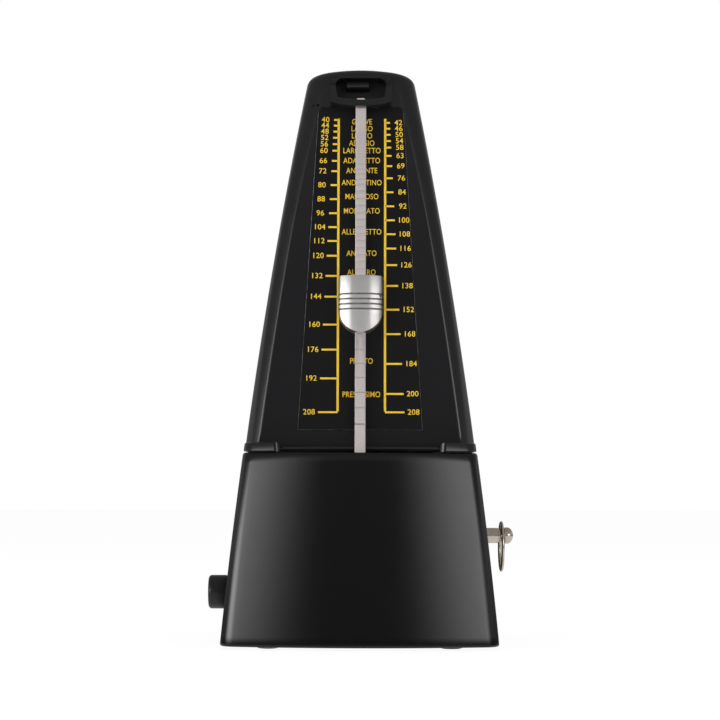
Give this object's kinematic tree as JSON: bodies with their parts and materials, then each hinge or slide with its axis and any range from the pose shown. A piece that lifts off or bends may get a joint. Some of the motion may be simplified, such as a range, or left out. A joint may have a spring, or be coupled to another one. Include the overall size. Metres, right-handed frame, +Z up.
{
  "type": "mechanical metronome",
  "caption": "Wind-up pendulum metronome in a tapered pyramid case, with a sliding tempo weight, side winding key, pull knob for the bell, and the clockwork inside.",
  "frame": {"origin": "middle of the footprint, on the plane that the four feet stand on", "axes": "+Z up, front (scale and pendulum) towards -Y, winding key on +X, selector knob on -X"},
  "size_m": [0.1185, 0.107, 0.22],
  "materials": {
    "case_plastic": "polished black moulding",
    "floor_plastic": "fine matt",
    "panel_paint": "semi-gloss black",
    "rubber": "matt",
    "bright_steel": "drawn strip, satin",
    "weight_metal": "fine satin",
    "nickel": "nickel plated",
    "brass_plate": "lacquered",
    "brass_wheel": "polished",
    "bell_metal": "polished",
    "arbor_steel": "turned",
    "screw_steel": "zinc plated",
    "spring_steel": "blued",
    "counterweight_metal": "cast, grey"
  },
  "bodies": {
    "case": {"base_housing": "case_plastic", "tower_housing": "case_plastic", "scale_plate": "panel_paint", "rod_clip": "case_plastic", "bottom_plate": "floor_plastic", "feet": "rubber", "case_screws": "screw_steel", "left_frame_plate": "brass_plate", "right_frame_plate": "brass_plate", "frame_pillars": "brass_plate", "pillar_screws": "screw_steel", "front_bridge": "brass_plate", "rear_bridge": "brass_plate", "pendulum_bushes": "brass_wheel", "train_cock": "brass_plate", "movement_screws": "screw_steel", "mainspring": "spring_steel", "hammer_arbor": "arbor_steel", "hammer_spring": "spring_steel", "bell": "bell_metal", "bell_post": "arbor_steel", "selector_detent": "spring_steel"},
    "winding": {"winding_arbor": "arbor_steel", "ratchet_wheel": "arbor_steel", "key_shaft": "nickel", "key_bow_pin": "nickel"},
    "key_bow": {"key_bow": "nickel"},
    "great_wheel": {"great_wheel": "brass_wheel", "click_stud": "arbor_steel"},
    "click": {"click": "arbor_steel", "click_spring": "spring_steel"},
    "intermediate": {"intermediate_arbor": "arbor_steel", "intermediate_wheel": "brass_wheel"},
    "escape": {"escape_arbor": "arbor_steel", "escape_wheel": "brass_wheel", "beat_drive_wheel": "brass_wheel"},
    "beat_drum": {"beat_drum": "brass_wheel"},
    "selector": {"selector_rod": "arbor_steel", "selector_knob": "case_plastic"},
    "hammer": {"bell_hammer": "arbor_steel"},
    "pendulum": {"pendulum_arbor": "arbor_steel", "pendulum_hub": "brass_wheel", "pallets": "arbor_steel", "pendulum_rod": "bright_steel", "counterweight": "counterweight_metal"},
    "weight": {"tempo_weight": "weight_metal", "weight_spring": "spring_steel"}
  },
  "joints": [
    {"name": "pendulum_swing", "type": "hinge", "parent": "case", "child": "pendulum", "pos_m": [0, -0.0375, 0.06], "axis": [0, -0.9962, 0.0872], "range_deg": [-22, 22]},
    {"name": "weight_slide", "type": "slide", "parent": "pendulum", "child": "weight", "axis": [0, 0.0872, 0.9962], "range_m": [-0.05, 0.062]},
    {"name": "escape_turn", "type": "hinge", "parent": "case", "child": "escape", "pos_m": [-0.008, -0.01658, 0.05817], "axis": [1, 0, 0], "continuous": true},
    {"name": "intermediate_turn", "type": "hinge", "parent": "case", "child": "intermediate", "pos_m": [0, -0.01648, 0.04262], "axis": [1, 0, 0], "continuous": true},
    {"name": "great_wheel_turn", "type": "hinge", "parent": "case", "child": "great_wheel", "pos_m": [0.011, 0.008, 0.0408], "axis": [1, 0, 0], "continuous": true},
    {"name": "winding_turn", "type": "hinge", "parent": "great_wheel", "child": "winding", "pos_m": [0, 0.008, 0.0408], "axis": [1, 0, 0], "continuous": true},
    {"name": "key_bow_fold", "type": "hinge", "parent": "winding", "child": "key_bow", "pos_m": [0.0554, 0.008, 0.0408], "axis": [0, 1, 0], "range_deg": [-14, 14]},
    {"name": "beat_drum_turn", "type": "hinge", "parent": "case", "child": "beat_drum", "pos_m": [-0.008, -0.00199, 0.04974], "axis": [1, 0, 0], "continuous": true},
    {"name": "click_lift", "type": "hinge", "parent": "great_wheel", "child": "click", "pos_m": [0.008, 0.01939, 0.04785], "axis": [1, 0, 0], "range_deg": [0, 8.5], "stiffness_Nm_per_rad": 0.002, "springref_deg": -11.46},
    {"name": "selector_pull", "type": "slide", "parent": "case", "child": "selector", "axis": [-1, 0, 0], "range_m": [0, 0.008]},
    {"name": "hammer_lift", "type": "hinge", "parent": "selector", "child": "hammer", "pos_m": [0, 0.014, 0.065], "axis": [1, 0, 0], "range_deg": [0, 10], "stiffness_Nm_per_rad": 0.02, "springref_deg": -5.73}
  ],
  "couplings": [
    {"joint": "intermediate_turn", "follows": "escape_turn", "ratio": -0.14815},
    {"joint": "great_wheel_turn", "follows": "escape_turn", "ratio": 0.024691},
    {"joint": "beat_drum_turn", "follows": "escape_turn", "ratio": -2.5}
  ]
}
